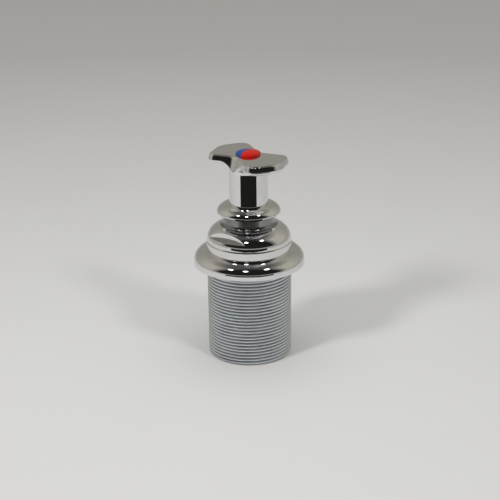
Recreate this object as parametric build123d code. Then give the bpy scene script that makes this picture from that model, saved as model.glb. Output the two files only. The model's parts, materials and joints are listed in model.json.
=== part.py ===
from build123d import *
import os

# Deck mixing tap with one turning handle, in millimetres.
# The origin is the centre of the flange's underside, where the deck meets it. +Z points up out of
# the deck and -Y is the front. The shank hangs below the deck and the handle stands above it.

# Flange and band of the body
FLANGE_R = 25.0
FLANGE_LIP_H = 2.0
FLANGE_LIP_CHAMFER = 0.5
FLANGE_CROWN_H = 4.9
BAND_R = 19.05
BAND_H = 4.0
SEAM_CHAMFER = 0.35

# Shank below the deck, left plain at its thread's crest, and the open pocket in its foot
SHANK_R = 19.0
SHANK_L = 43.0
SHANK_LEAD = 0.9
POCKET_R = 15.5
POCKET_DEPTH = 9.0

# Port block brazed into the shank above the pocket, its hose ports and the waterways above them
BLOCK_CLEARANCE = 0.05
PORT_TAP_R = 4.46
PORT_TAP_DEPTH = 9.0
HOT_ANGLE = 210.0
COLD_ANGLE = 330.0
OUTLET_ANGLE = 90.0
OUTLET_R = 2.2
KIDNEY_SPAN = 20.0
CROSSOVER_HALF_W = 2.0
CROSSOVER_DEPTH = 1.3

# Seal in the flange's underside
DECK_SEAL_R = 22.2
DECK_SEAL_HALF_W = 0.95
GROOVE_CLEARANCE = 0.05

# Cartridge chamber and the cartridge's moulded shell
CHAMBER_DEPTH = 31.0
CARTRIDGE_R = 14.2
CHAMBER_CLEARANCE = 0.15
HOUSING_WALL = 1.8
BASE_RIM_T = 3.5
BASE_PLUG_T = 2.0
PLUG_CLEARANCE = 0.15
ROOF_T = 3.7
BOSS_R = 9.0
BOSS_H = 5.0
PEG_R = 1.2
PEG_L = 1.8
PEG_EDGE = 3.2
PEG_CLEARANCE = 0.1

# Moulded seals round the waterways
SEAL_W = 1.1
SEAL_H = 1.2
SEAL_CLEARANCE = 0.05
SEAL_LAND = 1.0
DISC_SEAL_LAND = 0.6
DISC_SEAL_EDGE = 0.95

# Ceramic discs
FIXED_DISC_T = 4.0
MOVING_DISC_T = 4.0
DISC_CLEARANCE = 0.2
KEY_ANGLE = 12.0
KEY_DEPTH = 1.2
KEY_H = 2.0
KEY_CLEARANCE = 0.1
MIX_SLOT_W = 3.0
MIX_SLOT_DEPTH = 2.4
MIX_WELL_R = 3.0
MIX_SLOT_YAW = 114.0

# Carrier that turns the moving disc, and its stop
TURN_CLEARANCE = 0.3
CARRIER_T = 4.0
STOP_LEDGE = 1.0
STOP_TAB_ANGLE = 24.0
STOP_TAB_YAW = 20.0
STOP_PLAY_ANGLE = 1.0
TURN_RANGE = 110.0
LUG_W = 3.0
LUG_DEPTH = 1.4
LUG_H = 2.5
LUG_YAW = 15.0

# Spindle
SPINDLE_R = 5.0
RUNNING_CLEARANCE = 0.05
AXIAL_PLAY = 0.05
SPINDLE_FLANGE_R = 8.0
SPINDLE_FLANGE_T = 2.0
TANG_W = 6.0
TANG_L = 14.0
TANG_H = 2.6
SQUARE_SIDE = 7.1
SQUARE_L = 11.2
WASHER_T = 0.8
SPINDLE_SEAL_HALF_W = 0.75
SPINDLE_SEAL_PITCH = 2.2
CLIP_T = 0.8
CLIP_GROOVE_R = 4.0
CLIP_W = 2.4
CLIP_GAP_ANGLE = 70.0
CLIP_CLEARANCE = 0.1

# Bonnet: domed nut with a neck and two spanner flats
THREAD_BORE_R = 16.5
THREAD_CLEARANCE = 0.1
THREAD_RELIEF = 0.6
DOME_R = 18.95
DOME_FOOT_H = 0.7
DOME_H = 6.9
NECK_R = 11.5
NECK_H = 5.7
NECK_CHAMFER = 0.5
NECK_COVE = 2.0
FLATS_ACROSS = 31.0
FLATS_LEDGE_H = 3.3
FLATS_YAW = 231.5
CLIP_ROOM = 3.0
BONNET_WEB_T = 2.0
BONNET_WEB_CLEARANCE = 0.6
BONNET_SEAL_HALF_W = 0.8
HOUSING_SEAL_HALF_W = 0.8
BUSH_R = 7.6
BUSH_FLANGE_R = 9.5
BUSH_FLANGE_T = 0.8

# Handle: skirt bead, stem and two-lobed head, turned to the rest position by its yaw
HANDLE_GAP = 0.6
SKIRT_DEPTH = 1.9
SKIRT_CLEARANCE = 0.8
RIM_WALL = 1.5
BEAD_R = 14.3
BEAD_RISE = 0.5
BEAD_CROWN_H = 3.95
STEM_R = 8.65
STEM_H = 14.5
HEAD_T = 4.1
HEAD_DRAFT = 15.0
HEAD_EDGE_ROUND = 1.3
FLARE_ROUND = 3.5
SCOOP_RUNOUT = 4.0
HEAD_BLANK_R = 30.0
HANDLE_YAW = -55.0
WAIST_HALF = 6.1
WAIST_ROUND = 8.0
LOBE_TRAIL = (11.8, 13.3)
LOBE_TRAIL_ROUND = 3.5
LOBE_TIP = (21.0, 1.6)
LOBE_TIP_ROUND = 10.0
LOBE_LEAD = (18.2, -12.3)
LOBE_LEAD_ROUND = 4.5

# Handle screw and index button
SOCKET_CLEARANCE = 0.05
SOCKET_END_GAP = 0.3
SCREW_WEB_T = 3.4
SCREW_R = 1.95
SCREW_HOLE_CLEARANCE = 0.1
SCREW_GRIP_L = 8.0
SCREW_HEAD_R = 3.6
SCREW_HEAD_H = 2.4
SCREW_SLOT_W = 0.9
SCREW_SLOT_DEPTH = 1.0
INDEX_BORE_R = 4.6
INDEX_PLUG_L = 5.0
INDEX_PLUG_CLEARANCE = 0.05
INDEX_R = 5.5
INDEX_EDGE_H = 0.6
INDEX_DOME_H = 1.5
INDEX_SPLIT_YAW = 55.0

# Heights that follow from the stack of pieces
FOOT_Z = -SHANK_L
POCKET_Z = FOOT_Z + POCKET_DEPTH
BAND_Z = FLANGE_LIP_H + FLANGE_CROWN_H
BODY_TOP_Z = BAND_Z + BAND_H
FLOOR_Z = BODY_TOP_Z - CHAMBER_DEPTH
HOUSING_Z = FLOOR_Z + BASE_RIM_T
BASE_TOP_Z = HOUSING_Z + BASE_PLUG_T
FIXED_TOP_Z = BASE_TOP_Z + FIXED_DISC_T
MOVING_TOP_Z = FIXED_TOP_Z + MOVING_DISC_T
CARRIER_TOP_Z = MOVING_TOP_Z + CARRIER_T
SPINDLE_FLANGE_Z = CARRIER_TOP_Z + SPINDLE_FLANGE_T
WASHER_Z = SPINDLE_FLANGE_Z + AXIAL_PLAY
ROOF_Z = WASHER_Z + WASHER_T
SHOULDER_Z = ROOF_Z + ROOF_T
BOSS_TOP_Z = SHOULDER_Z + BOSS_H
HOUSING_SEAL_Z = (ROOF_Z + SHOULDER_Z) / 2
BONNET_SEAL_Z = BODY_TOP_Z - 2 * BONNET_SEAL_HALF_W
SPINDLE_SEAL_Z = (ROOF_Z + BOSS_TOP_Z) / 2
SPINDLE_SEAL_HEIGHTS = (SPINDLE_SEAL_Z - SPINDLE_SEAL_PITCH / 2, SPINDLE_SEAL_Z + SPINDLE_SEAL_PITCH / 2)
CAVITY_TOP_Z = BOSS_TOP_Z + CLIP_ROOM
BUSH_SEAT_Z = CAVITY_TOP_Z + BONNET_WEB_T
DOME_Z = BODY_TOP_Z + DOME_FOOT_H
DOME_TOP_Z = DOME_Z + DOME_H
NECK_TOP_Z = DOME_TOP_Z + NECK_H
BUSH_TOP_Z = NECK_TOP_Z + BUSH_FLANGE_T
HUB_Z = BUSH_TOP_Z + HANDLE_GAP
RIM_Z = HUB_Z - SKIRT_DEPTH
BEAD_Z = RIM_Z + BEAD_RISE
STEM_FOOT_Z = BEAD_Z + BEAD_CROWN_H
FLARE_Z = STEM_FOOT_Z + STEM_H
SCOOP_Z = FLARE_Z - SCOOP_RUNOUT
HEAD_TOP_Z = FLARE_Z + FLARE_ROUND + HEAD_T
SQUARE_TOP_Z = HUB_Z + SQUARE_L
SOCKET_TOP_Z = SQUARE_TOP_Z + SOCKET_END_GAP
SCREW_SEAT_Z = SOCKET_TOP_Z + SCREW_WEB_T

# Radii that follow from the fits
CHAMBER_R = CARTRIDGE_R + CHAMBER_CLEARANCE
HOUSING_BORE_R = CARTRIDGE_R - HOUSING_WALL
FIXED_DISC_R = HOUSING_BORE_R - DISC_CLEARANCE
MOVING_DISC_R = HOUSING_BORE_R - 2 * TURN_CLEARANCE
STOP_BORE_R = HOUSING_BORE_R - STOP_LEDGE
CARRIER_R = STOP_BORE_R - TURN_CLEARANCE
KIDNEY_OUTER_R = HOUSING_BORE_R - PLUG_CLEARANCE - DISC_SEAL_EDGE - SEAL_W
KIDNEY_INNER_R = OUTLET_R + 2 * SEAL_W + DISC_SEAL_LAND
KIDNEY_HALF_W = (KIDNEY_OUTER_R - KIDNEY_INNER_R) / 2
PORT_CIRCLE_R = (KIDNEY_OUTER_R + KIDNEY_INNER_R) / 2
WATERWAY_R = PORT_CIRCLE_R - CROSSOVER_HALF_W - 2 * SEAL_W - SEAL_LAND
PEG_CIRCLE_R = CARTRIDGE_R - PEG_EDGE
SPINDLE_BORE_R = SPINDLE_R + RUNNING_CLEARANCE
SPIGOT_R = THREAD_BORE_R - THREAD_CLEARANCE
SKIRT_BORE_R = NECK_R + SKIRT_CLEARANCE
SCREW_HOLE_R = SCREW_R + SCREW_HOLE_CLEARANCE

UPWARD = (Align.CENTER, Align.CENTER, Align.MIN)
LEVEL_TOL = 0.01


def turn(*edges):
    """Solid of revolution about Z of a closed half-section, drawn as radius and height."""
    return revolve(Plane.XZ * make_face(list(edges)), Axis.Z)


def rod(radius, low, high):
    """Round rod on the Z axis between two heights."""
    return Pos(0, 0, low) * Cylinder(radius, high - low, align=UPWARD)


def ring(outer, inner, low, high):
    """Flat ring on the Z axis between two heights."""
    return rod(outer, low, high) - rod(inner, low, high)


def prism(sketch, low, high):
    """Flat outline raised between two heights."""
    return Pos(0, 0, low) * extrude(sketch, high - low)


def sector(inner, outer, middle, span):
    """Outline of a piece of a flat ring, centred on an angle."""
    outside = CenterArc((0, 0), outer, middle - span / 2, span)
    inside = CenterArc((0, 0), inner, middle - span / 2, span)
    return make_face([outside, inside, Line(inside @ 0, outside @ 0), Line(inside @ 1, outside @ 1)])


def seal_ring(outer, half_w, height):
    """Rubber ring of square section, just inside the surface of the rod that carries it."""
    edge = outer - GROOVE_CLEARANCE
    return ring(edge, edge - 2 * half_w, height - half_w, height + half_w)


def seal_groove(outer, half_w, height):
    """Groove round a rod for a square-section ring."""
    half = half_w + GROOVE_CLEARANCE
    return ring(outer + 1, outer - 2 * half, height - half, height + half)


def at_port(angle):
    """Place on the circle of ports."""
    return Rot(0, 0, angle) * Pos(PORT_CIRCLE_R, 0, 0)


def port_hole(angle, radius, low, high):
    """Round waterway at a port."""
    return at_port(angle) * rod(radius, low, high)


def kidney(start, grow=0.0):
    """Curved opening along the circle of ports, with round ends."""
    return SlotArc(CenterArc((0, 0), PORT_CIRCLE_R, start, KIDNEY_SPAN), 2 * (KIDNEY_HALF_W + grow))


def crossover(grow=0.0):
    """Straight slot from the outlet port to the middle of the cartridge."""
    run = Line((0, 0), (0, PORT_CIRCLE_R))
    return Rot(0, 0, OUTLET_ANGLE - 90) * SlotArc(run, 2 * (CROSSOVER_HALF_W + grow))


def base_openings(grow=0.0):
    """Openings on the cartridge base's underside: hot, cold and the outlet's crossover."""
    round_port = Circle(WATERWAY_R + grow)
    return [at_port(HOT_ANGLE) * round_port, at_port(COLD_ANGLE) * round_port, crossover(grow)]


def disc_openings(grow=0.0):
    """Openings under the fixed disc: hot, cold and the outlet in the middle."""
    return [kidney(HOT_ANGLE - KIDNEY_SPAN, grow), kidney(COLD_ANGLE, grow), Circle(OUTLET_R + grow)]


def seal_set(openings, low):
    """Moulded seals, one round each opening."""
    pairs = zip(openings(SEAL_W), openings(SEAL_CLEARANCE))
    return [prism(outer - inner, low, low + SEAL_H) for outer, inner in pairs]


def key_sectors(grow_angle, inner, outer):
    """Two opposite keys on a rim."""
    return [sector(inner, outer, yaw, KEY_ANGLE + grow_angle) for yaw in (90, 270)]


def lug_blocks(width, inner, outer, low, high):
    """Two opposite driving lugs on a rim."""
    block = Pos((inner + outer) / 2, 0, low) * Box(outer - inner, width, high - low, align=UPWARD)
    return [Rot(0, 0, LUG_YAW + turn_by) * block for turn_by in (0, 180)]


def peg_set(radius, low, high):
    """Two locating pegs under the cartridge base, set unevenly so that it fits one way round."""
    return [Rot(0, 0, yaw) * Pos(PEG_CIRCLE_R, 0, 0) * rod(radius, low, high) for yaw in (30, 270)]


def make_body():
    """Flange, band and tubular shank in one turning, with the chamber above and the block's seat below."""
    outside = Polyline(
        (POCKET_R, FLOOR_Z), (POCKET_R, FOOT_Z), (SHANK_R - SHANK_LEAD, FOOT_Z),
        (SHANK_R, FOOT_Z + SHANK_LEAD), (SHANK_R, 0), (FLANGE_R - FLANGE_LIP_CHAMFER, 0),
        (FLANGE_R, FLANGE_LIP_CHAMFER), (FLANGE_R, FLANGE_LIP_H))
    crown = EllipticalCenterArc((BAND_R, FLANGE_LIP_H), FLANGE_R - BAND_R, FLANGE_CROWN_H, arc_size=90)
    inside = Polyline(
        (BAND_R, BAND_Z), (BAND_R, BODY_TOP_Z - SEAM_CHAMFER), (BAND_R - SEAM_CHAMFER, BODY_TOP_Z),
        (THREAD_BORE_R, BODY_TOP_Z), (THREAD_BORE_R, SHOULDER_Z - THREAD_RELIEF),
        (CHAMBER_R, SHOULDER_Z - THREAD_RELIEF), (CHAMBER_R, FLOOR_Z), (POCKET_R, FLOOR_Z))
    body = turn(*outside.edges(), crown, *inside.edges())
    groove_half = DECK_SEAL_HALF_W + GROOVE_CLEARANCE
    return body - ring(DECK_SEAL_R + groove_half, DECK_SEAL_R - groove_half, 0, 2 * DECK_SEAL_HALF_W)


def make_port_block():
    """Brass block that closes the chamber from below and takes the three hose tails."""
    block = rod(POCKET_R - BLOCK_CLEARANCE, POCKET_Z, FLOOR_Z)
    for angle in (HOT_ANGLE, COLD_ANGLE, OUTLET_ANGLE):
        block -= port_hole(angle, PORT_TAP_R, POCKET_Z, POCKET_Z + PORT_TAP_DEPTH)
        block -= port_hole(angle, WATERWAY_R, POCKET_Z, FLOOR_Z)
    for hole in peg_set(PEG_R + PEG_CLEARANCE, FLOOR_Z - PEG_L - PEG_CLEARANCE, FLOOR_Z):
        block -= hole
    return block


def make_deck_seal():
    """Rubber ring flush with the flange's underside."""
    return seal_ring(DECK_SEAL_R + DECK_SEAL_HALF_W + GROOVE_CLEARANCE, DECK_SEAL_HALF_W, DECK_SEAL_HALF_W)


def make_cartridge_base():
    """Moulded base: leads the ports up to the fixed disc and holds it by two keys."""
    base = rod(CARTRIDGE_R, FLOOR_Z, HOUSING_Z)
    base += rod(HOUSING_BORE_R - PLUG_CLEARANCE, HOUSING_Z, BASE_TOP_Z)
    for key in key_sectors(0, FIXED_DISC_R - KEY_DEPTH, HOUSING_BORE_R - PLUG_CLEARANCE):
        base += prism(key, BASE_TOP_Z, BASE_TOP_Z + KEY_H)
    for peg in peg_set(PEG_R, FLOOR_Z - PEG_L, FLOOR_Z):
        base += peg
    low_groove = FLOOR_Z + SEAL_H
    for opening, mouth in zip(base_openings(), base_openings(SEAL_W + SEAL_CLEARANCE)):
        base -= prism(mouth, FLOOR_Z, low_groove)
        base -= prism(opening, FLOOR_Z, low_groove + CROSSOVER_DEPTH)
    for opening, mouth in zip(disc_openings(), disc_openings(SEAL_W + SEAL_CLEARANCE)):
        base -= prism(mouth, BASE_TOP_Z - SEAL_H, BASE_TOP_Z)
        base -= prism(opening, low_groove + CROSSOVER_DEPTH, BASE_TOP_Z)
    return base


def make_fixed_disc():
    """Ceramic disc with hot, cold and outlet openings, keyed to the base."""
    disc = rod(FIXED_DISC_R, BASE_TOP_Z, FIXED_TOP_Z)
    for opening in disc_openings():
        disc -= prism(opening, BASE_TOP_Z, FIXED_TOP_Z)
    for notch in key_sectors(1, FIXED_DISC_R - KEY_DEPTH - KEY_CLEARANCE, HOUSING_BORE_R):
        disc -= prism(notch, BASE_TOP_Z, BASE_TOP_Z + KEY_H + KEY_CLEARANCE)
    return disc


def make_moving_disc():
    """Ceramic disc whose blind slot joins the inlets to the outlet as it turns."""
    disc = rod(MOVING_DISC_R, FIXED_TOP_Z, MOVING_TOP_Z)
    slot = SlotCenterToCenter(2 * (PORT_CIRCLE_R + KIDNEY_HALF_W) - MIX_SLOT_W, MIX_SLOT_W)
    disc -= prism(Rot(0, 0, MIX_SLOT_YAW) * slot, FIXED_TOP_Z, FIXED_TOP_Z + MIX_SLOT_DEPTH)
    disc -= rod(MIX_WELL_R, FIXED_TOP_Z, FIXED_TOP_Z + MIX_SLOT_DEPTH)
    inner = CARRIER_R - LUG_DEPTH - KEY_CLEARANCE
    low = MOVING_TOP_Z - LUG_H - KEY_CLEARANCE
    for notch in lug_blocks(LUG_W + 2 * KEY_CLEARANCE, inner, HOUSING_BORE_R, low, MOVING_TOP_Z):
        disc -= notch
    return disc


def make_disc_carrier():
    """Driver between spindle and moving disc, with the tab that meets the housing's stops."""
    carrier = rod(CARRIER_R, MOVING_TOP_Z, CARRIER_TOP_Z)
    tab = sector(CARRIER_R - 1, HOUSING_BORE_R - TURN_CLEARANCE, STOP_TAB_YAW, STOP_TAB_ANGLE)
    carrier += prism(tab, MOVING_TOP_Z, CARRIER_TOP_Z)
    for lug in lug_blocks(LUG_W, CARRIER_R - LUG_DEPTH, CARRIER_R, MOVING_TOP_Z - LUG_H, MOVING_TOP_Z):
        carrier += lug
    slot_low = CARRIER_TOP_Z - TANG_H - KEY_CLEARANCE
    slot = Box(TANG_L + 2 * KEY_CLEARANCE, TANG_W + 2 * KEY_CLEARANCE, TANG_H + KEY_CLEARANCE, align=UPWARD)
    return carrier - Pos(0, 0, slot_low) * slot


def make_cartridge_housing():
    """Moulded cup over the discs: window for the stop tab, roof and sealed spindle bore."""
    housing = rod(CARTRIDGE_R, HOUSING_Z, SHOULDER_Z)
    housing += rod(BOSS_R, SHOULDER_Z, BOSS_TOP_Z)
    housing -= rod(HOUSING_BORE_R, HOUSING_Z, MOVING_TOP_Z)
    housing -= rod(STOP_BORE_R, MOVING_TOP_Z, ROOF_Z)
    window_span = TURN_RANGE + STOP_TAB_ANGLE + 2 * STOP_PLAY_ANGLE
    window = sector(STOP_BORE_R - 1, HOUSING_BORE_R, STOP_TAB_YAW + TURN_RANGE / 2, window_span)
    housing -= prism(window, MOVING_TOP_Z, CARRIER_TOP_Z + TURN_CLEARANCE)
    housing -= rod(SPINDLE_BORE_R, ROOF_Z, BOSS_TOP_Z)
    return housing - seal_groove(CHAMBER_R, HOUSING_SEAL_HALF_W, HOUSING_SEAL_Z)


def make_thrust_washer():
    """Low-friction washer between the spindle's flange and the housing's roof."""
    return ring(SPINDLE_FLANGE_R, SPINDLE_R + TURN_CLEARANCE, WASHER_Z, ROOF_Z)


def make_spindle():
    """Brass spindle: tang, flange, sealed journal, clip groove and square drive."""
    spindle = rod(SPINDLE_FLANGE_R, CARRIER_TOP_Z, SPINDLE_FLANGE_Z)
    spindle += Pos(0, 0, CARRIER_TOP_Z - TANG_H) * Box(TANG_L, TANG_W, TANG_H, align=UPWARD)
    spindle += rod(SPINDLE_R, SPINDLE_FLANGE_Z, HUB_Z)
    square = Box(SQUARE_SIDE, SQUARE_SIDE, SQUARE_L, align=UPWARD) & rod(SPINDLE_R, 0, SQUARE_L)
    spindle += Rot(0, 0, HANDLE_YAW) * Pos(0, 0, HUB_Z) * square
    for height in SPINDLE_SEAL_HEIGHTS:
        spindle -= seal_groove(SPINDLE_R, SPINDLE_SEAL_HALF_W, height)
    clip_top = BOSS_TOP_Z + CLIP_T + 2 * CLIP_CLEARANCE
    spindle -= ring(SPINDLE_R + 1, CLIP_GROOVE_R, BOSS_TOP_Z, clip_top)
    hole_end = SCREW_SEAT_Z - SCREW_WEB_T - SOCKET_END_GAP - SCREW_GRIP_L - SCREW_R
    return spindle - rod(SCREW_HOLE_R, hole_end, SQUARE_TOP_Z)


def make_spindle_clip():
    """Open spring clip in the spindle's groove, just above the housing's boss."""
    low = BOSS_TOP_Z + CLIP_CLEARANCE
    inner = CLIP_GROOVE_R + GROOVE_CLEARANCE
    clip = sector(inner, inner + CLIP_W, HANDLE_YAW, 360 - CLIP_GAP_ANGLE)
    return prism(clip, low, low + CLIP_T)


def make_bonnet():
    """Domed nut with its neck, spanner flats and the bore for the spindle's bush."""
    seat = Polyline(
        (BOSS_R + TURN_CLEARANCE, SHOULDER_Z), (SPIGOT_R, SHOULDER_Z), (SPIGOT_R, BODY_TOP_Z),
        (DOME_R - SEAM_CHAMFER, BODY_TOP_Z), (DOME_R, BODY_TOP_Z + SEAM_CHAMFER), (DOME_R, DOME_Z))
    dome = EllipticalCenterArc((NECK_R, DOME_Z), DOME_R - NECK_R, DOME_H, arc_size=90)
    neck = Polyline(
        (NECK_R, DOME_TOP_Z), (NECK_R, NECK_TOP_Z - NECK_CHAMFER), (NECK_R - NECK_CHAMFER, NECK_TOP_Z),
        (BUSH_R, NECK_TOP_Z), (BUSH_R, BUSH_SEAT_Z), (SPINDLE_R + BONNET_WEB_CLEARANCE, BUSH_SEAT_Z),
        (SPINDLE_R + BONNET_WEB_CLEARANCE, CAVITY_TOP_Z), (BOSS_R + TURN_CLEARANCE, CAVITY_TOP_Z),
        (BOSS_R + TURN_CLEARANCE, SHOULDER_Z))
    bonnet = turn(*seat.edges(), dome, *neck.edges())
    neck_foot = bonnet.edges().filter_by(GeomType.CIRCLE).sort_by_distance((NECK_R, 0, DOME_TOP_Z))[0]
    bonnet = fillet(neck_foot, NECK_COVE)
    bonnet -= seal_groove(THREAD_BORE_R, BONNET_SEAL_HALF_W, BONNET_SEAL_Z)
    flat = Pos(FLATS_ACROSS / 2, 0, BODY_TOP_Z + FLATS_LEDGE_H)
    slab = Box(DOME_R, 2 * DOME_R, DOME_H + DOME_FOOT_H, align=(Align.MIN, Align.CENTER, Align.MIN))
    for side in (0, 180):
        bonnet -= Rot(0, 0, FLATS_YAW + side) * flat * slab
    return bonnet


def make_neck_bush():
    """Flanged bush that guides the spindle in the bonnet's neck."""
    bush = rod(BUSH_R - SEAL_CLEARANCE, BUSH_SEAT_Z, NECK_TOP_Z)
    bush += rod(BUSH_FLANGE_R, NECK_TOP_Z, BUSH_TOP_Z)
    return bush - rod(SPINDLE_BORE_R, BUSH_SEAT_Z, BUSH_TOP_Z)


def head_outline():
    """S-shaped plan of the handle's head: each lobe has a trailing corner, a tip and a leading corner."""
    lobe = [(0, WAIST_HALF), LOBE_TRAIL, LOBE_TIP, LOBE_LEAD]
    corners = lobe + [(-x, -y) for x, y in lobe]
    rounds = [WAIST_ROUND, LOBE_TRAIL_ROUND, LOBE_TIP_ROUND, LOBE_LEAD_ROUND] * 2
    return make_face(FilletPolyline(*corners, radius=rounds, close=True))


def make_head():
    """Flared stem end and two-lobed plate, cut from one turned blank to the S-shaped plan."""
    outline = Rot(0, 0, HANDLE_YAW) * head_outline()
    plate_z = FLARE_Z + FLARE_ROUND
    arc = CenterArc((STEM_R + FLARE_ROUND, FLARE_Z), FLARE_ROUND, 180, -90)
    side = Polyline(
        arc @ 1, (HEAD_BLANK_R, plate_z), (HEAD_BLANK_R, HEAD_TOP_Z), (0, HEAD_TOP_Z), (0, SCOOP_Z),
        (STEM_R, SCOOP_Z), arc @ 0)
    scoops = Pos(0, 0, HEAD_TOP_Z) * extrude(outline, SCOOP_Z - HEAD_TOP_Z, taper=-HEAD_DRAFT)
    head = turn(arc, *side.edges()) & scoops
    top_rim = head.faces().sort_by(Axis.Z)[-1].edges()
    underside = head.edges().filter_by_position(Axis.Z, plate_z - LEVEL_TOL, plate_z + LEVEL_TOL)
    return fillet(top_rim + underside.filter_by(GeomType.CIRCLE, reverse=True), HEAD_EDGE_ROUND)


def make_handle():
    """Skirt bead, stem and head in one casting."""
    foot = Polyline(
        (0, HUB_Z), (SKIRT_BORE_R, HUB_Z), (SKIRT_BORE_R, RIM_Z), (SKIRT_BORE_R + RIM_WALL, RIM_Z),
        (BEAD_R, BEAD_Z))
    bead = EllipticalCenterArc((STEM_R, BEAD_Z), BEAD_R - STEM_R, BEAD_CROWN_H, arc_size=90)
    stem = Polyline((STEM_R, STEM_FOOT_Z), (STEM_R, SCOOP_Z), (0, SCOOP_Z), (0, HUB_Z))
    handle = turn(*foot.edges(), bead, *stem.edges()) + make_head()
    socket_side = SQUARE_SIDE + 2 * SOCKET_CLEARANCE
    socket = Box(socket_side, socket_side, SOCKET_TOP_Z - HUB_Z, align=UPWARD)
    handle -= Rot(0, 0, HANDLE_YAW) * Pos(0, 0, HUB_Z) * socket
    handle -= rod(SCREW_HOLE_R, HUB_Z, SCREW_SEAT_Z)
    return handle - rod(INDEX_BORE_R, SCREW_SEAT_Z, HEAD_TOP_Z)


def make_handle_screw():
    """Slotted screw that pulls the handle down on the spindle."""
    screw = rod(SCREW_HEAD_R, SCREW_SEAT_Z, SCREW_SEAT_Z + SCREW_HEAD_H)
    screw += rod(SCREW_R, SQUARE_TOP_Z - SCREW_GRIP_L, SCREW_SEAT_Z)
    slot = Box(2 * SCREW_HEAD_R, SCREW_SLOT_W, SCREW_SLOT_DEPTH, align=UPWARD)
    return screw - Pos(0, 0, SCREW_SEAT_Z + SCREW_HEAD_H - SCREW_SLOT_DEPTH) * slot


def index_half(start):
    """Half of the domed index button with its plug, swept from a starting angle."""
    plug_r = INDEX_BORE_R - INDEX_PLUG_CLEARANCE
    edge_z = HEAD_TOP_Z + INDEX_EDGE_H
    side = Polyline(
        (0, HEAD_TOP_Z - INDEX_PLUG_L), (plug_r, HEAD_TOP_Z - INDEX_PLUG_L), (plug_r, HEAD_TOP_Z),
        (INDEX_R, HEAD_TOP_Z), (INDEX_R, edge_z))
    dome = EllipticalCenterArc((0, edge_z), INDEX_R, INDEX_DOME_H, arc_size=90)
    axis_line = Line(dome @ 1, side @ 0)
    section = make_face([*side.edges(), dome, axis_line])
    return Rot(0, 0, start) * revolve(Plane.XZ * section, Axis.Z, 180)


NODES = {
    "body": make_body(),
    "port_block": make_port_block(),
    "deck_seal": make_deck_seal(),
    "cartridge_base": make_cartridge_base(),
    "base_seals": Compound(children=seal_set(base_openings, FLOOR_Z)),
    "disc_seals": Compound(children=seal_set(disc_openings, BASE_TOP_Z - SEAL_H)),
    "fixed_disc": make_fixed_disc(),
    "moving_disc": make_moving_disc(),
    "disc_carrier": make_disc_carrier(),
    "cartridge_housing": make_cartridge_housing(),
    "housing_seal": seal_ring(CHAMBER_R, HOUSING_SEAL_HALF_W, HOUSING_SEAL_Z),
    "thrust_washer": make_thrust_washer(),
    "spindle": make_spindle(),
    "spindle_seals": Compound(
        children=[seal_ring(SPINDLE_R, SPINDLE_SEAL_HALF_W, height) for height in SPINDLE_SEAL_HEIGHTS]),
    "spindle_clip": make_spindle_clip(),
    "bonnet": make_bonnet(),
    "bonnet_seal": seal_ring(THREAD_BORE_R, BONNET_SEAL_HALF_W, BONNET_SEAL_Z),
    "neck_bush": make_neck_bush(),
    "handle": make_handle(),
    "handle_screw": make_handle_screw(),
    "cold_index": index_half(INDEX_SPLIT_YAW),
    "hot_index": index_half(INDEX_SPLIT_YAW + 180),
}

os.makedirs("parts", exist_ok=True)
for name, shape in NODES.items():
    export_step(shape, f"parts/{name}.step")
    print(name, len(shape.solids()), "solids", round(shape.volume, 1), "mm3")
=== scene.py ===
# %% [markdown]
# # A chrome deck tap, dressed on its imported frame
# The tap's pieces were engineered first and arrive here as a fixed frame, in metres: z = 0 is the top
# of the deck, and -Y is the front. This lesson gives the pieces their looks. Metal as bright as this
# shows every flaw of a mesh, so the turned pieces that show are modelled again, finely, in place.

# %% Load the frame
import json
import math

import bpy
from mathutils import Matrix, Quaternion, Vector


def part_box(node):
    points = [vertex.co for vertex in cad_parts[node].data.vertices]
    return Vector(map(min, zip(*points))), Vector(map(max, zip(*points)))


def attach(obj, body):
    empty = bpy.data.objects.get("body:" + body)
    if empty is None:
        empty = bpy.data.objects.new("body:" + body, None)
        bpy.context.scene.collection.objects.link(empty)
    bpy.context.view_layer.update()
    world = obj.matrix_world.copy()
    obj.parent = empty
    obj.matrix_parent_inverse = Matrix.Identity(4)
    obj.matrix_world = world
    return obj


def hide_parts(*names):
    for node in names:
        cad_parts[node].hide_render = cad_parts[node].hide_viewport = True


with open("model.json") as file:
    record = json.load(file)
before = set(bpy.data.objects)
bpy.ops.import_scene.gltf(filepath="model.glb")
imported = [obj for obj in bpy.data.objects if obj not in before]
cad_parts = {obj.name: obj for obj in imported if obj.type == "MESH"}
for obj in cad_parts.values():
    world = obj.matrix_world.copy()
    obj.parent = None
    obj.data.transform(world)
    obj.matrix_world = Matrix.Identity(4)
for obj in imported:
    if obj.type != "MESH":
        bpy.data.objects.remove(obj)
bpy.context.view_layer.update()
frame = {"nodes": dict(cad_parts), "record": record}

MM = 0.001

# %% [markdown]
# ## Turned pieces
# The body and the bonnet are turned on a lathe, so each is one section carried round an axis. A spin
# would do, but it leaves a seam to close. Here a circle is drawn out ring by ring along the section,
# as a lathe hand would follow a drawing, and the last ring lands on the first and is merged with it.

# %% Draw a section round the axis
RING_SIDES = 256
SMOOTH_ANGLE = math.radians(24)


def deselect():
    """Leaves nothing selected, so that an operator touches only what is made next."""
    bpy.ops.object.select_all(action="DESELECT")


def quarter(centre_r, centre_z, width, height, start, end, steps):
    """Points along part of an ellipse on a section, as radius and height, with angles in degrees."""
    angles = [math.radians(start + (end - start) * i / steps) for i in range(steps + 1)]
    return [(centre_r + width * math.cos(a), centre_z + height * math.sin(a)) for a in angles]


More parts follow.
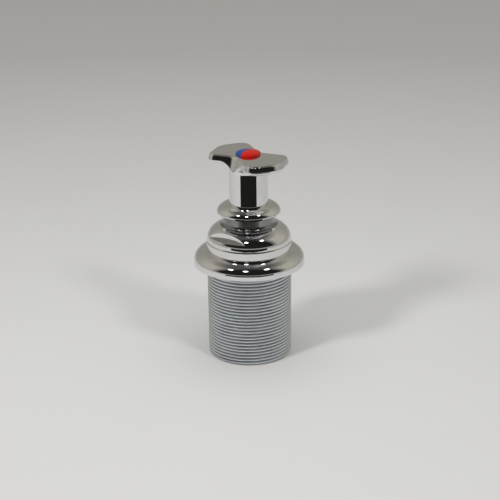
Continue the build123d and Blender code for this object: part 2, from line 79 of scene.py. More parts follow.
def cove(centre_r, centre_z, width, height, radius, steps):
    """Where a hollow round leaves an ellipse for an upright wall: the ellipse's end angle and the round."""
    low, high = 0.0, math.pi / 2
    for _ in range(60):
        angle = (low + high) / 2
        out, up = math.cos(angle) / width, math.sin(angle) / height
        out, up = out / math.hypot(out, up), up / math.hypot(out, up)
        short = width * math.cos(angle) > radius * (1 - out)
        low, high = (angle, high) if short else (low, angle)
    middle_z = centre_z + height * math.sin(angle) + radius * up
    start = 180 + math.degrees(math.atan2(up, out))
    return math.degrees(angle), quarter(centre_r + radius, middle_z, radius, radius, start, 180, steps)[1:]


def turned(name, section):
    """A closed ring of metal from a closed section in millimetres."""
    deselect()
    radius, height = section[0]
    bpy.ops.mesh.primitive_circle_add(
        vertices=RING_SIDES, radius=radius * MM, location=(0, 0, height * MM), enter_editmode=True)
    for next_radius, next_height in section[1:] + section[:1]:
        rise = (0, 0, (next_height - height) * MM)
        bpy.ops.mesh.extrude_edges_move(TRANSFORM_OT_translate={"value": rise})
        grow = next_radius / radius
        bpy.ops.transform.resize(value=(grow, grow, 1), center_override=(0, 0, 0))
        radius, height = next_radius, next_height
    bpy.ops.mesh.select_all(action="SELECT")
    bpy.ops.mesh.remove_doubles(threshold=0.001 * MM)
    bpy.ops.mesh.normals_make_consistent(inside=False)
    bpy.ops.object.mode_set(mode="OBJECT")
    piece = bpy.context.object
    piece.name = name
    piece.data.name = name
    bpy.ops.object.transform_apply(location=True, rotation=True, scale=True)
    return piece


def polish(piece):
    """Shades a piece smooth, keeps its corners crisp and lets its large faces lead the shading."""
    deselect()
    piece.select_set(True)
    bpy.context.view_layer.objects.active = piece
    bpy.ops.object.shade_smooth_by_angle(angle=SMOOTH_ANGLE)
    lead = piece.modifiers.new("lead", "WEIGHTED_NORMAL")
    lead.keep_sharp = True
    bpy.ops.object.modifier_apply(modifier="lead")
    print(piece.name, len(piece.data.polygons), "faces")


# %% [markdown]
# ## The body
# The body is one brass turning: a tube with a round-edged flange that sits on the deck and a plain
# band above it. Its corners get the small rounds that polishing leaves, and the shank is drawn at the
# root of its thread, because the thread itself is wound on afterwards.

# %% Turn the body
body_low, body_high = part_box("body")
FOOT_Z = body_low.z / MM
BODY_TOP_Z = body_high.z / MM
FLANGE_R = body_high.x / MM
BAND_R = 19.05
CROWN_W, CROWN_H = FLANGE_R - BAND_R, 4.9
LIP_H = 2.0
LIP_ROUND = 0.6
BAND_FOOT_ROUND = 0.08
SEAM_CHAMFER = 0.35
SHANK_R = 19.0
THREAD_PITCH = 1.5
THREAD_DEPTH = 0.92
ROOT_R = SHANK_R - THREAD_DEPTH
FOOT_LEAD = 0.9
MOUTH_R = 16.5
CHAMBER_R = 14.35
POCKET_R = 15.5
SHOULDER_Z = 3.35
CHAMBER_FLOOR_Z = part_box("port_block")[1].z / MM
seal_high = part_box("deck_seal")[1]
GROOVE_OUTER_R = seal_high.x / MM + 0.05
GROOVE_INNER_R = GROOVE_OUTER_R - 2.0
GROOVE_TOP_Z = seal_high.z / MM

crown_end, band_foot = cove(BAND_R, LIP_H, CROWN_W, CROWN_H, BAND_FOOT_ROUND, 8)
body_section = [
    (POCKET_R, CHAMBER_FLOOR_Z), (POCKET_R, FOOT_Z), (ROOT_R - 0.3, FOOT_Z), (ROOT_R, FOOT_Z + 0.3),
    (ROOT_R, 0), (GROOVE_INNER_R, 0), (GROOVE_INNER_R, GROOVE_TOP_Z), (GROOVE_OUTER_R, GROOVE_TOP_Z),
    (GROOVE_OUTER_R, 0)]
body_section += quarter(FLANGE_R - LIP_ROUND, LIP_ROUND, LIP_ROUND, LIP_ROUND, -90, 0, 8)
body_section += quarter(BAND_R, LIP_H, CROWN_W, CROWN_H, 0, crown_end, 30)
body_section += band_foot
body_section += [
    (BAND_R, BODY_TOP_Z - SEAM_CHAMFER), (BAND_R - SEAM_CHAMFER, BODY_TOP_Z), (MOUTH_R, BODY_TOP_Z),
    (MOUTH_R, SHOULDER_Z), (CHAMBER_R, SHOULDER_Z), (CHAMBER_R, CHAMBER_FLOOR_Z)]
tap_body = turned("tap_body", body_section)
polish(tap_body)

# %% [markdown]
# ## The shank's thread
# The shank carries a fine thread from the flange to its foot. A stack of rings would look right from
# afar but has no lead, so one tooth's outline is wound up the shank with a Screw modifier, as a
# thread is really cut. The foot's plane trims the winding, and the lead-in chamfer turns its end down.

# %% Wind the thread
CREST_HALF = 0.13
CREST_ROUND = 0.09
FLANK_ANGLE = math.radians(60)
SUNK = 0.12
THREAD_START_Z = FOOT_Z - THREAD_PITCH
THREAD_TURNS = math.ceil((LIP_H / 2 - THREAD_START_Z) / THREAD_PITCH)
THREAD_STEPS = 120
CORNER_STEPS = 3


def thread_tooth():
    """Outline of one tooth: a circle's corners moved to the round crest and down to the root."""
    corner_r = SHANK_R - CREST_ROUND
    crest = quarter(corner_r, -CREST_HALF, CREST_ROUND, CREST_ROUND, -60, 0, CORNER_STEPS)
    crest += quarter(corner_r, CREST_HALF, CREST_ROUND, CREST_ROUND, 0, 60, CORNER_STEPS)
    drop = crest[0][0] - (ROOT_R - SUNK)
    root_half = crest[-1][1] + drop / math.tan(FLANK_ANGLE)
    corners = [(ROOT_R - SUNK, -root_half)] + crest + [(ROOT_R - SUNK, root_half)]
    deselect()
    bpy.ops.mesh.primitive_circle_add(vertices=len(corners), radius=MM)
    tooth = bpy.context.object
    for vertex, (radius, height) in zip(tooth.data.vertices, corners):
        vertex.co = (radius * MM, 0, (THREAD_START_Z + height) * MM)
    return tooth


def wind_thread():
    """The tooth wound up the shank, trimmed at the foot and closed at both ends."""
    thread = thread_tooth()
    screw = thread.modifiers.new("winding", "SCREW")
    screw.angle = 2 * math.pi
    screw.screw_offset = THREAD_PITCH * MM
    screw.iterations = THREAD_TURNS
    screw.steps = screw.render_steps = THREAD_STEPS
    bpy.ops.object.modifier_apply(modifier="winding")
    bpy.ops.object.mode_set(mode="EDIT")
    bpy.ops.mesh.select_all(action="SELECT")
    bpy.ops.mesh.remove_doubles(threshold=0.001 * MM)
    bpy.ops.mesh.select_all(action="DESELECT")
    bpy.ops.mesh.select_non_manifold()
    bpy.ops.mesh.fill_holes(sides=2 * CORNER_STEPS + 4)
    bpy.ops.mesh.select_all(action="SELECT")
    bpy.ops.mesh.normals_make_consistent(inside=False)
    bpy.ops.mesh.bisect(
        plane_co=(0, 0, FOOT_Z * MM), plane_no=(0, 0, 1), use_fill=True, clear_inner=True,
        threshold=0.001 * MM)
    bpy.ops.object.mode_set(mode="OBJECT")
    thread.name = thread.data.name = "shank_thread"
    return thread


def turn_down_lead(thread):
    """Brings the crests down to the lead-in chamfer near the foot."""
    for vertex in thread.data.vertices:
        radius = math.hypot(vertex.co.x, vertex.co.y)
        limit = SHANK_R * MM - FOOT_LEAD * MM + (vertex.co.z - FOOT_Z * MM)
        if radius > limit:
            vertex.co.x *= limit / radius
            vertex.co.y *= limit / radius


shank_thread = wind_thread()
turn_down_lead(shank_thread)
polish(shank_thread)
print("thread turns:", THREAD_TURNS)

# %% [markdown]
# ## The bonnet
# The bonnet screws into the body and holds the cartridge down. It is turned too, with a dome, a neck
# and, milled afterwards, two flats for a spanner. A box cut away by a Boolean modifier does what the
# milling cutter did, and the fine rings keep the dome's shading true right up to the cut.

# %% Turn the bonnet and mill its flats
bonnet_low, bonnet_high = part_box("bonnet")
BONNET_SEAT_Z = bonnet_low.z / MM
NECK_TOP_Z = bonnet_high.z / MM
DOME_R = bonnet_high.y / MM
DOME_Z = BODY_TOP_Z + 0.7
DOME_H = 6.9
NECK_R = 11.5
NECK_COVE = 2.0
NECK_CHAMFER = 0.5
SPIGOT_R = 16.4
SPIGOT_BORE_R = 9.3
CAVITY_TOP_Z = 11.95
BUSH_SEAT_Z = 13.95
BUSH_BORE_R = 7.6
SPINDLE_WAY_R = 5.6
FLATS_ACROSS = 31.0
FLATS_LEDGE_Z = BODY_TOP_Z + 3.3
FLATS_YAW = math.radians(231.5)

dome_end, neck_foot = cove(NECK_R, DOME_Z, DOME_R - NECK_R, DOME_H, NECK_COVE, 12)
bonnet_section = [
    (SPIGOT_BORE_R, BONNET_SEAT_Z), (SPIGOT_R, BONNET_SEAT_Z), (SPIGOT_R, BODY_TOP_Z),
    (DOME_R - SEAM_CHAMFER, BODY_TOP_Z), (DOME_R, BODY_TOP_Z + SEAM_CHAMFER)]
bonnet_section += quarter(NECK_R, DOME_Z, DOME_R - NECK_R, DOME_H, 0, dome_end, 36)
bonnet_section += neck_foot
bonnet_section += [
    (NECK_R, NECK_TOP_Z - NECK_CHAMFER), (NECK_R - NECK_CHAMFER, NECK_TOP_Z), (BUSH_BORE_R, NECK_TOP_Z),
    (BUSH_BORE_R, BUSH_SEAT_Z), (SPINDLE_WAY_R, BUSH_SEAT_Z), (SPINDLE_WAY_R, CAVITY_TOP_Z),
    (SPIGOT_BORE_R, CAVITY_TOP_Z)]
NECK_FOOT_Z = neck_foot[0][1]
tap_bonnet = turned("tap_bonnet", bonnet_section)


def mill_flat(piece, yaw):
    """Cuts one spanner flat, a chord of the dome down to a level ledge."""
    deselect()
    reach = DOME_R * MM
    middle = FLATS_ACROSS / 2 * MM + reach / 2
    place = (middle * math.cos(yaw), middle * math.sin(yaw), FLATS_LEDGE_Z * MM + reach / 2)
    bpy.ops.mesh.primitive_cube_add(size=reach, location=place, rotation=(0, 0, yaw))
    cutter = bpy.context.object
    bpy.ops.transform.resize(value=(2.2, 2.2, 1), center_override=place)
    shift = 0.6 * reach
    cutter.location += Vector((math.cos(yaw), math.sin(yaw), 0)) * shift
    bpy.context.view_layer.objects.active = piece
    cut = piece.modifiers.new("flat", "BOOLEAN")
    cut.object = cutter
    cut.operation = "DIFFERENCE"
    cut.solver = "EXACT"
    bpy.ops.object.modifier_apply(modifier="flat")
    bpy.data.objects.remove(cutter)


for turn in (0, math.pi):
    mill_flat(tap_bonnet, FLATS_YAW + turn)
polish(tap_bonnet)

# %% [markdown]
# ## The handle
# The handle is a casting: a skirt bead, a stem and an S-shaped head with two finger scoops. Its shape
# comes from the engineered solid, so a merged copy of that mesh stands for it. Mirror-bright metal
# needs truer shading than averaged triangles give, so on the bead and the stem, which are round, each
# corner is given the normal that the round form has there.

# %% Copy the handle and true its shading
handle_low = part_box("handle")[0]
STEM_R = 8.65
BEAD_R = 14.3
BEAD_Z = handle_low.z / MM + 0.5
BEAD_CROWN_H = 3.95
STEM_FOOT_Z = BEAD_Z + BEAD_CROWN_H
FLARE_ROUND = 3.5
FLARE_Z = STEM_FOOT_Z + 14.5


def merged_copy(node, name):
    """A copy of a frame node with its loose triangles joined."""
    deselect()
    piece = bpy.data.objects.new(name, frame["nodes"][node].data.copy())
    bpy.context.scene.collection.objects.link(piece)
    piece.select_set(True)
    bpy.context.view_layer.objects.active = piece
    bpy.ops.mesh.customdata_custom_splitnormals_clear()
    bpy.ops.object.mode_set(mode="EDIT")
    bpy.ops.mesh.select_all(action="SELECT")
    bpy.ops.mesh.remove_doubles(threshold=0.001 * MM)
    bpy.ops.object.mode_set(mode="OBJECT")
    piece.data.name = name
    return piece


def round_normal(radius, height):
    """Outward and upward parts of the normal on the bead, the stem or the flare, or None elsewhere."""
    if STEM_FOOT_Z - 0.01 < height < FLARE_Z + 0.01 and abs(radius - STEM_R) < 0.05:
        return 1.0, 0.0
    if BEAD_Z - 0.01 < height < STEM_FOOT_Z + 0.01:
        across = (radius - STEM_R) / (BEAD_R - STEM_R)
        along = (height - BEAD_Z) / BEAD_CROWN_H
        if abs(math.hypot(across, along) - 1) < 0.02:
            return across / (BEAD_R - STEM_R), along / BEAD_CROWN_H
    across = STEM_R + FLARE_ROUND - radius
    along = height - FLARE_Z
    if along > -0.01 and abs(math.hypot(across, along) - FLARE_ROUND) < 0.04:
        return across, -along
    return None


def true_normals(piece):
    """Sets the normal of each corner on a round face from the form, and keeps the others."""
    mesh = piece.data
    normals = [corner.vector.copy() for corner in mesh.corner_normals]
    changed = 0
    for face in mesh.polygons:
        for loop in face.loop_indices:
            spot = mesh.vertices[mesh.loops[loop].vertex_index].co
            radius = math.hypot(spot.x, spot.y)
            if radius < STEM_R * 0.9 * MM:
                continue
            slope = round_normal(radius / MM, spot.z / MM)
            if slope is None:
                continue
            normal = Vector((spot.x / radius * slope[0], spot.y / radius * slope[0], slope[1])).normalized()
            if normal.dot(face.normal) > 0.9:
                normals[loop] = normal
                changed += 1
    mesh.normals_split_custom_set(normals)
    print(piece.name, changed, "corners trued of", len(normals))


tap_handle = merged_copy("handle", "tap_handle")
polish(tap_handle)
true_normals(tap_handle)

# %% [markdown]
# ## Shader maths
# A finish is a small graph of nodes. Written node by node it is hard to read, so a socket is wrapped
# in a class that understands plus, minus and times, and one method adds any other node.

# %% Wrap sockets and nodes


class Signal:
    """A shader socket that can be used in an expression like a number."""

    def __init__(self, graph, socket):
        self.graph = graph
        self.socket = socket

    def math(self, operation, first, second):
        return self.graph.node("Math", {"operation": operation}, {0: first, 1: second})

    def __add__(self, other):
        return self.math("ADD", self, other)

    def __radd__(self, other):
        return self.math("ADD", other, self)

    def __sub__(self, other):
        return self.math("SUBTRACT", self, other)

    def __rsub__(self, other):
        return self.math("SUBTRACT", other, self)

    def __mul__(self, other):
        return self.math("MULTIPLY", self, other)

    def __rmul__(self, other):
        return self.math("MULTIPLY", other, self)

    def __truediv__(self, other):
        return self.math("DIVIDE", self, other)

    def __rtruediv__(self, other):
        return self.math("DIVIDE", other, self)

    def __pow__(self, other):
        return self.math("POWER", self, other)

    def __rpow__(self, other):
        return self.math("POWER", other, self)


class Graph:
    """A node tree, emptied, with one method that adds nodes to it."""

    def __init__(self, tree):
        self.tree = tree
        tree.nodes.clear()

    def node(self, kind, settings=None, sockets=None, output=0):
        made = self.tree.nodes.new("ShaderNode" + kind)
        for name, setting in (settings or {}).items():
            if name == "stops":
                self.set_stops(made.color_ramp, setting)
            else:
                setattr(made, name, setting)
        for name, value in (sockets or {}).items():
            if isinstance(value, Signal):
                self.tree.links.new(value.socket, made.inputs[name])
            else:
                made.inputs[name].default_value = value
        return Signal(self, made.outputs[output]) if made.outputs else None

    def set_stops(self, ramp, stops):
        while len(ramp.elements) < len(stops):
            ramp.elements.new(1.0)
        for element, (position, shade) in zip(ramp.elements, stops):
            element.position = position
            element.color = (shade, shade, shade, 1)


def new_finish(name):
    """An empty material and its graph."""
    material = bpy.data.materials.new(name)
    material.use_nodes = True
    return material, Graph(material.node_tree)


def blend_colours(graph, factor, low, high):
    """One colour mixed into another by a factor."""
    low, high = (shade if isinstance(shade, Signal) else (*shade, 1) for shade in (low, high))
    return graph.node("Mix", {"data_type": "RGBA"}, {0: factor, 6: low, 7: high}, output=2)


def axis(graph, place, letter):
    """One coordinate of a place."""
    return graph.node("SeparateXYZ", {}, {"Vector": place}, output=letter)


def close_finish(graph, sockets):
    """Ends a graph in one Principled shader."""
    shader = graph.node("BsdfPrincipled", {}, sockets)
    graph.node("OutputMaterial", {}, {"Surface": shader})


print("shader helpers ready")

# %% [markdown]
# ## Finishes
# Chrome plate is almost a mirror. What makes it look real is what lies on it: faint smears from hands,
# a breath of haze, and fine wiping marks. The thread is plated too but was never polished, so it is
# duller, and its root is painted darker, as painted shade in the grooves.

# %% Chrome
def noise(graph, place, scale, detail, rough=0.5):
    sockets = {"Vector": place, "Scale": scale, "Detail": detail, "Roughness": rough}
    return graph.node("TexNoise", {"noise_dimensions": "3D"}, sockets)


def ramp(graph, value, stops):
    return graph.node("ValToRGB", {"stops": stops}, {"Fac": value})


def bump(graph, height, strength, distance):
    return graph.node("Bump", {}, {"Height": height, "Strength": strength, "Distance": distance})


def chrome_finish(name):
    material, graph = new_finish(name)
    place = graph.node("TexCoord", output="Object")
    smear = ramp(graph, noise(graph, place, 95, 4, 0.62), [(0.48, 0.0), (0.74, 1.0)])
    grain = noise(graph, place, 2600, 2)
    tint = blend_colours(graph, smear, (0.80, 0.80, 0.805), (0.74, 0.735, 0.72))
    waves = noise(graph, place, 210, 1)
    close_finish(graph, {
        "Base Color": tint, "Metallic": 1.0, "Roughness": 0.028 + smear * 0.05 + grain * 0.014,
        "Normal": bump(graph, waves, 0.05, 0.00006)})
    return material


def thread_finish(name):
    material, graph = new_finish(name)
    place = graph.node("TexCoord", output="Object")
    across, along = axis(graph, place, "X"), axis(graph, place, "Y")
    radius = (across * across + along * along) ** 0.5
    depth = graph.node("Clamp", {}, {"Value": (SHANK_R * MM - radius) / (THREAD_DEPTH * MM)})
    patches = ramp(graph, noise(graph, place, 160, 5, 0.6), [(0.35, 0.0), (0.75, 1.0)])
    # The root is painted darker than the crest, as painted shade in the thread's grooves, mottled at random.
    root_shade = ramp(graph, depth, [(0.06, 0.0), (0.5, 1.0)]) * (0.7 + 0.3 * patches)
    tint = blend_colours(graph, root_shade, (0.84, 0.87, 0.89), (0.36, 0.38, 0.40))
    close_finish(graph, {
        "Base Color": tint, "Metallic": 1.0, "Roughness": 0.31 + root_shade * 0.06 + patches * 0.04})
    return material


def milled_finish(name):
    material, graph = new_finish(name)
    place = graph.node("TexCoord", output="Object")
    turned_place = graph.node(
        "VectorRotate", {"rotation_type": "Z_AXIS"}, {"Vector": place, "Angle": math.pi / 2 - FLATS_YAW})
    streaked = graph.node("VectorMath", {"operation": "MULTIPLY"}, {0: turned_place, 1: (0.08, 1.0, 1.0)})
    streaks = ramp(graph, noise(graph, streaked, 2400, 3, 0.7), [(0.38, 0.0), (0.62, 1.0)])
    tint = blend_colours(graph, streaks, (0.56, 0.58, 0.61), (0.34, 0.35, 0.37))
    close_finish(graph, {
        "Base Color": tint, "Metallic": 1.0, "Roughness": 0.16 + streaks * 0.12,
        "Normal": bump(graph, streaks, 0.25, 0.00003)})
    return material


def neck_finish(name):
    material, graph = new_finish(name)
    place = graph.node("TexCoord", output="Object")
    shade_mottle = ramp(graph, noise(graph, place, 170, 4, 0.6), [(0.3, 0.0), (0.7, 1.0)])
    # Both tones are dark: painted shade from the handle's skirt above the neck, on a dull finish.
    tint = blend_colours(graph, shade_mottle, (0.33, 0.335, 0.335), (0.22, 0.22, 0.215))
    close_finish(graph, {"Base Color": tint, "Metallic": 1.0, "Roughness": 0.14 + shade_mottle * 0.10})
    return material


chrome = chrome_finish("polished_chrome")
thread_chrome = thread_finish("thread_chrome")
milled_chrome = milled_finish("milled_chrome")
neck_chrome_painted_shade = neck_finish("neck_chrome_painted_shade")
print("chrome finishes made")

# %% [markdown]
# ## Plastic, rubber, ceramic and bare metal
# The index button is glossy moulded plastic, red for hot and blue for cold. The pieces inside can't be
# seen with the tap closed, but each still gets the finish that it has on the bench.

# %% The other finishes
def moulded_finish(name, colour, worn, roughness, coat=0.0, shine=0.5):
    material, graph = new_finish(name)
    place = graph.node("TexCoord", output="Object")
    cloud = ramp(graph, noise(graph, place, 240, 4, 0.6), [(0.35, 0.0), (0.75, 1.0)])
    grain = noise(graph, place, 5200, 2)
    close_finish(graph, {
        "Base Color": blend_colours(graph, cloud, colour, worn), "Roughness": roughness + cloud * 0.06,
        "Coat Weight": coat, "Coat Roughness": 0.06, "Specular IOR Level": shine,
        "Normal": bump(graph, grain, 0.12, 0.00002)})
    return material


def turned_finish(name, colour, worn, roughness, rings):
    material, graph = new_finish(name)
    place = graph.node("TexCoord", output="Object")
    waves = graph.node(
        "TexWave", {"wave_type": "BANDS", "bands_direction": "Z"},
        {"Vector": place, "Scale": rings, "Distortion": 1.5, "Detail": 2.0})
    cloud = ramp(graph, noise(graph, place, 180, 4, 0.6), [(0.4, 0.0), (0.8, 1.0)])
    close_finish(graph, {
        "Base Color": blend_colours(graph, cloud, colour, worn), "Metallic": 1.0,
        "Roughness": roughness + cloud * 0.1 + waves * 0.05, "Normal": bump(graph, waves, 0.08, 0.00002)})
    return material


slot_finishes = {
    "chrome_brass": chrome,
    "chrome_zinc": chrome,
    "black_rubber": moulded_finish("seal_rubber", (0.018, 0.018, 0.018), (0.05, 0.05, 0.05), 0.55),
    "white_moulding": moulded_finish("white_moulding", (0.80, 0.80, 0.78), (0.72, 0.71, 0.68), 0.42),
    "grey_moulding": moulded_finish("grey_moulding", (0.30, 0.31, 0.33), (0.24, 0.25, 0.26), 0.45),
    "ceramic": moulded_finish("lapped_ceramic", (0.88, 0.87, 0.84), (0.82, 0.80, 0.76), 0.14, 0.4),
    "bare_brass": turned_finish("turned_brass", (0.80, 0.60, 0.30), (0.62, 0.44, 0.20), 0.24, 900),
    "spring_steel": turned_finish("spring_steel", (0.26, 0.26, 0.28), (0.18, 0.17, 0.17), 0.34, 700),
    "screw_steel": turned_finish("screw_steel", (0.62, 0.62, 0.62), (0.52, 0.51, 0.50), 0.22, 900),
    "blue_index": moulded_finish("blue_index", (0.022, 0.060, 0.235), (0.030, 0.072, 0.26), 0.12, shine=0.22),
    "red_index": moulded_finish("red_index", (0.56, 0.018, 0.012), (0.50, 0.015, 0.010), 0.12, shine=0.22),
}


def wear(piece, material):
    """Gives a piece one finish all over."""
    piece.data.materials.clear()
    piece.data.materials.append(material)


for subpart in frame["record"]["subparts"]:
    node = frame["nodes"][subpart["node"]]
    for material_slot in node.material_slots:
        material_slot.material = slot_finishes[subpart["material_slot"]]
for piece in (tap_body, tap_bonnet, tap_handle):
    wear(piece, chrome)
wear(shank_thread, thread_chrome)
print("finishes given to", len(frame["nodes"]), "nodes and 4 new pieces")

# %% [markdown]
# ## Duller faces
# The body and the bonnet are single pieces, but only what a hand or an eye meets was polished. The
# shank keeps the thread's finish and its painted root shade, the ledges of the flats keep the milling
# cutter's streaks, and the neck, which lives under the handle's skirt, is dull and painted dark, as
# painted shade from the skirt. Each of these is a further material on the same mesh, given to faces
# picked by their place.

# %% Give the duller faces their finish
def refinish(piece, material, picks):
    """Gives a further material to the faces that a test picks by centre, radius and normal."""
    piece.data.materials.append(material)
    chosen = [f for f in piece.data.polygons if picks(f.center / MM, f.center.xy.length / MM, f.normal)]
    for face in chosen:
        face.material_index = len(piece.data.materials) - 1
    print(piece.name, material.name, len(chosen), "faces")


def on_shank(spot, radius, normal):
    return spot.z < -0.01 and radius > POCKET_R * 1.01


def on_ledge(spot, radius, normal):
    return abs(spot.z - FLATS_LEDGE_Z) < 0.01 and normal.z > 0.9


def on_neck(spot, radius, normal):
    return spot.z > NECK_FOOT_Z and radius > BUSH_BORE_R * 1.01


refinish(tap_body, thread_chrome, on_shank)
refinish(tap_bonnet, milled_chrome, on_ledge)
refinish(tap_bonnet, neck_chrome_painted_shade, on_neck)

# %% [markdown]
# ## Pieces join the frame
# Each new piece rides on the body it belongs to, and the frame node that it stands for is hidden.

# %% Ride and replace
for piece, body, node, slot in (
        (tap_body, "base", "body", "chrome_brass"), (tap_bonnet, "base", "bonnet", "chrome_brass"),
        (tap_handle, "control", "handle", "chrome_zinc")):
    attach(piece, body)
    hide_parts(node)
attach(shank_thread, "base")

# %% [markdown]
# ## The table
# Chrome is a picture of the room it stands in. The tap stands on a pale table that ends not far in
# front, and the metal shows the dark beyond its edge. Cards that only mirror rays can see stand for
# that edge, so the table itself stays whole in every view.

# %% Table
TABLE_SIZE = 24.0
DARK_NEAR = 0.168
DARK_CORNER = (0.156, 0.142)
DARK_REACH = 10.0


def only_in_mirrors(card):
    """Hides a card from everything but reflections."""
    card.visible_camera = False
    card.visible_diffuse = False
    card.visible_shadow = False
    card.visible_transmission = False
    card.visible_volume_scatter = False


def table_finish():
    material, graph = new_finish("pale_table")
    place = graph.node("TexCoord", output="Object")
    away = graph.node("VectorMath", {"operation": "LENGTH"}, {0: place}, output="Value")
    # The table is painted darker with distance from the tap, as a painted fall-off of the lamps' light.
    falloff_shade = ramp(graph, away, [(0.05, 0.0), (0.75, 1.0)])
    mottle = noise(graph, place, 14, 4) - 0.5
    tone = graph.node("Clamp", {}, {"Value": falloff_shade + 0.12 * mottle})
    paint = blend_colours(graph, tone, (0.68, 0.675, 0.665), (0.51, 0.50, 0.48))
    close_finish(graph, {"Base Color": paint, "Roughness": 0.55, "Specular IOR Level": 0.2})
    return material


deselect()
bpy.ops.mesh.primitive_plane_add(size=TABLE_SIZE, location=(0, 0, FOOT_Z * MM))
table = bpy.context.object
table.name = "table"
wear(table, table_finish())

card_paint, graph = new_finish("dark_card")
close_finish(graph, {"Base Color": (0.012, 0.012, 0.011, 1), "Roughness": 0.9, "Specular IOR Level": 0.0})
for side in (-1, 1):
    deselect()
    bpy.ops.mesh.primitive_plane_add(size=1)
    card = bpy.context.object
    card.name = "dark_card"
    near = [(0, -DARK_NEAR), (side * DARK_CORNER[0], -DARK_CORNER[1])]
    far = [(DARK_REACH * x, DARK_REACH * y) for x, y in near]
    for vertex, (x, y) in zip(card.data.vertices, near + far):
        vertex.co = (x, y, FOOT_Z * MM + 0.5 * MM)
    wear(card, card_paint)
    only_in_mirrors(card)
print("table at", FOOT_Z, "mm, dark from", DARK_NEAR / MM, "mm in front")

# %% [markdown]
# ## Lamps in the metal
# Three lamps hang in front of the tap, and each round piece shows them as small bright spots. A lamp
# here is a round card that is brightest in the middle, because a hard-edged one looks cut out.

# %% Lamps seen in the metal
LAMP_DISTANCE = 1.6


def lamp_finish():
    """Light that fades from the middle of a card to its rim."""
    material, graph = new_finish("lamp_card")
    place = graph.node("TexCoord", output="Object")
    spread = graph.node("VectorMath", {"operation": "LENGTH"}, {0: place}, output="Value")
    fade = ramp(graph, spread, [(0.25, 0.0), (0.5, 1.0)])
    light = blend_colours(graph, fade, (1.0, 0.99, 0.97), (0.0, 0.0, 0.0))
    glow = graph.node("Emission", {}, {"Color": light, "Strength": 9.0})
    graph.node("OutputMaterial", {}, {"Surface": glow})
    return material


lamp_paint = lamp_finish()


def lamp_card(name, azimuth, elevation, degrees):
    """A round bright card in a direction seen from the tap, with its width in degrees."""
    a, e = math.radians(azimuth), math.radians(elevation)
    away = Vector((math.sin(a) * math.cos(e), -math.cos(a) * math.cos(e), math.sin(e)))
    deselect()
    bpy.ops.mesh.primitive_circle_add(vertices=48, radius=0.5, fill_type="NGON")
    card = bpy.context.object
    card.name = name
    size = 2 * LAMP_DISTANCE * math.tan(math.radians(degrees) / 2)
    card.scale = (size, size, size)
    card.rotation_mode = "QUATERNION"
    card.rotation_quaternion = away.to_track_quat("Z", "Y")
    card.location = away * LAMP_DISTANCE
    wear(card, lamp_paint)
    only_in_mirrors(card)


lamp_card("lamp_left", -55, 55, 10)
lamp_card("lamp_middle", -10, 52, 10)
lamp_card("lamp_right", 52, 56, 10)
print("three lamps", LAMP_DISTANCE, "m away")

# %% [markdown]
# ## Soft light
# The lamps' own light on the table comes from two soft discs in front, left and right, which throw the
# two pale shadows behind the tap, and from a broad light overhead.

# %% Soft light
def soft_light(name, place, size, power):
    data = bpy.data.lights.new(name, "AREA")
    data.shape = "DISK"
    data.size = size
    data.energy = power
    light = bpy.data.objects.new(name, data)
    bpy.context.scene.collection.objects.link(light)
    light.location = place
    light.rotation_mode = "QUATERNION"
    light.rotation_quaternion = (-Vector(place)).to_track_quat("-Z", "Y")
    light.visible_glossy = False
    return light


soft_light("key_light", (-0.74, -0.63, 0.70), 0.22, 5.8)
soft_light("fill_light", (0.61, -0.70, 0.75), 0.22, 3.1)
sky = bpy.data.lights.new("overhead_light", "SUN")
sky.angle = math.radians(80)
sky.energy = 1.1
overhead = bpy.data.objects.new("overhead_light", sky)
bpy.context.scene.collection.objects.link(overhead)
overhead.visible_glossy = False
print("lights:", len(bpy.data.lights))

# %% [markdown]
# ## The room
# The room has beige walls and a darker ceiling, and its near half is dark. A low pale band runs right
# round it where the table ends, so no view ends in a black wall. The camera and the metal see the same
# room. Only the light it gives to dull surfaces is evened out, as many walls would do.

# %% Room
WALL = (0.47, 0.445, 0.385)
BACK_WALL = (0.30, 0.29, 0.255)
CEILING = (0.085, 0.085, 0.085)
DARK_SIDE = (0.014, 0.014, 0.013)
LOW_BAND = (0.375, 0.367, 0.352)
FILL = (0.28, 0.28, 0.28, 1)

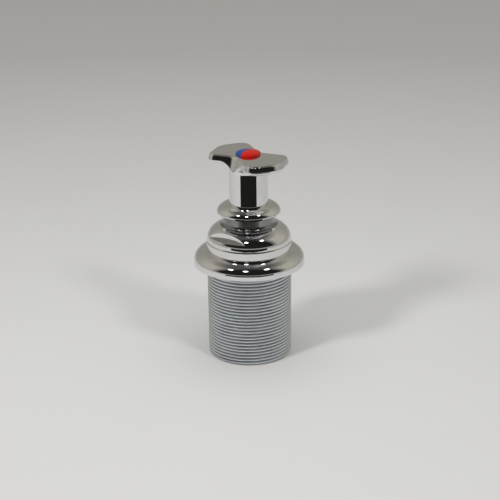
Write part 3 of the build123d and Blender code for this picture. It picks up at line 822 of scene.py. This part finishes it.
world = bpy.data.worlds.new("room")
world.use_nodes = True
bpy.context.scene.world = world
graph = Graph(world.node_tree)
way = graph.node("TexCoord", output="Generated")
depth = axis(graph, way, "Y")
rise = axis(graph, way, "Z")
walls = blend_colours(graph, ramp(graph, depth, [(0.30, 0.0), (0.85, 1.0)]), WALL, BACK_WALL)
room = blend_colours(graph, ramp(graph, rise, [(0.68, 0.0), (0.93, 1.0)]), walls, CEILING)
room = blend_colours(graph, ramp(graph, 0.0 - depth, [(0.12, 0.0), (0.42, 1.0)]), room, DARK_SIDE)
room = blend_colours(graph, ramp(graph, rise, [(0.085, 0.0), (0.11, 1.0)]), LOW_BAND, room)
shown = graph.node("Background", {}, {"Color": room})
fill = graph.node("Background", {}, {"Color": FILL})
on_dull = graph.node("LightPath", output="Is Diffuse Ray")
seen = graph.node("MixShader", {}, {0: on_dull, 1: shown, 2: fill})
graph.node("OutputWorld", {}, {"Surface": seen})
print("room nodes:", len(world.node_tree.nodes))

# %% [markdown]
# ## Camera
# The camera stands where the photograph was taken: about half a metre away, twenty degrees above the
# horizon, with a long lens. It leans a little, as a hand-held camera does.

# %% Camera
LENS_PX = 1150.0
IMAGE_PX = 500.0
SENSOR_MM = 36.0
CAMERA_DISTANCE = 518.3 * MM
CAMERA_ELEVATION = math.radians(20.34)
AIM_Z = 5.59 * MM
LEAN = math.radians(-0.64)
SIDE_SHIFT_PX = 0.83

eye = bpy.data.cameras.new("camera")
eye.sensor_width = SENSOR_MM
eye.lens = LENS_PX / IMAGE_PX * SENSOR_MM
eye.shift_x = SIDE_SHIFT_PX / IMAGE_PX
camera = bpy.data.objects.new("camera", eye)
bpy.context.scene.collection.objects.link(camera)
back_off = Vector((0, -math.cos(CAMERA_ELEVATION), math.sin(CAMERA_ELEVATION)))
camera.location = Vector((0, 0, AIM_Z)) + back_off * CAMERA_DISTANCE
camera.rotation_mode = "QUATERNION"
camera.rotation_quaternion = (-back_off).to_track_quat("-Z", "Y") @ Quaternion((0, 0, 1), LEAN)
bpy.context.scene.camera = camera
bpy.context.scene.view_settings.view_transform = "Standard"
print("camera", CAMERA_DISTANCE, "m away, lens in mm:", round(eye.lens, 1))
